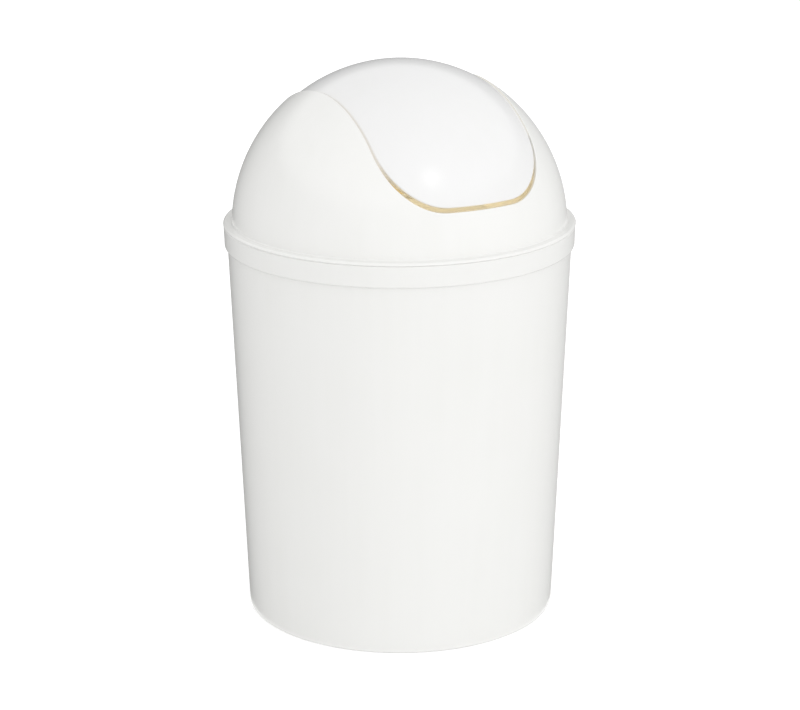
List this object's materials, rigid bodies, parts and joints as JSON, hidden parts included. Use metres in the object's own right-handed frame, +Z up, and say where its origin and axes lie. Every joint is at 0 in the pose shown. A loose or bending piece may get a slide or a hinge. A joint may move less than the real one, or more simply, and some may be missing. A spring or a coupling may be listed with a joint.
{
  "type": "countertop trash can with swing lid",
  "caption": "Small round tapered countertop bin with a domed lift-off lid frame and a saddle-shaped flap that swings on pegs between the lid's ears.",
  "frame": {"origin": "centre of the circle on which the bucket stands, on the floor", "axes": "+Z up along the bin's axis; the flap's front lobe faces -Y; the flap's pivot lies along X"},
  "size_m": [0.1294, 0.1294, 0.207],
  "materials": {
    "bucket_plastic": "white injection-moulded polypropylene, satin",
    "lid_plastic": "white injection-moulded polypropylene, satin",
    "flap_plastic": "white injection-moulded polypropylene, semi-gloss"
  },
  "bodies": {
    "bucket": {"bucket": "bucket_plastic"},
    "lid_frame": {"lid_frame": "lid_plastic"},
    "swing_flap": {"swing_flap": "flap_plastic"}
  },
  "joints": [
    {"name": "lid_lift", "type": "slide", "parent": "bucket", "child": "lid_frame", "axis": [0, 0, 1], "range_m": [0, 0.1]},
    {"name": "flap_swing", "type": "hinge", "parent": "lid_frame", "child": "swing_flap", "pos_m": [0, 0, 0.19231], "axis": [1, 0, 0], "range_deg": [-65, 65]}
  ]
}
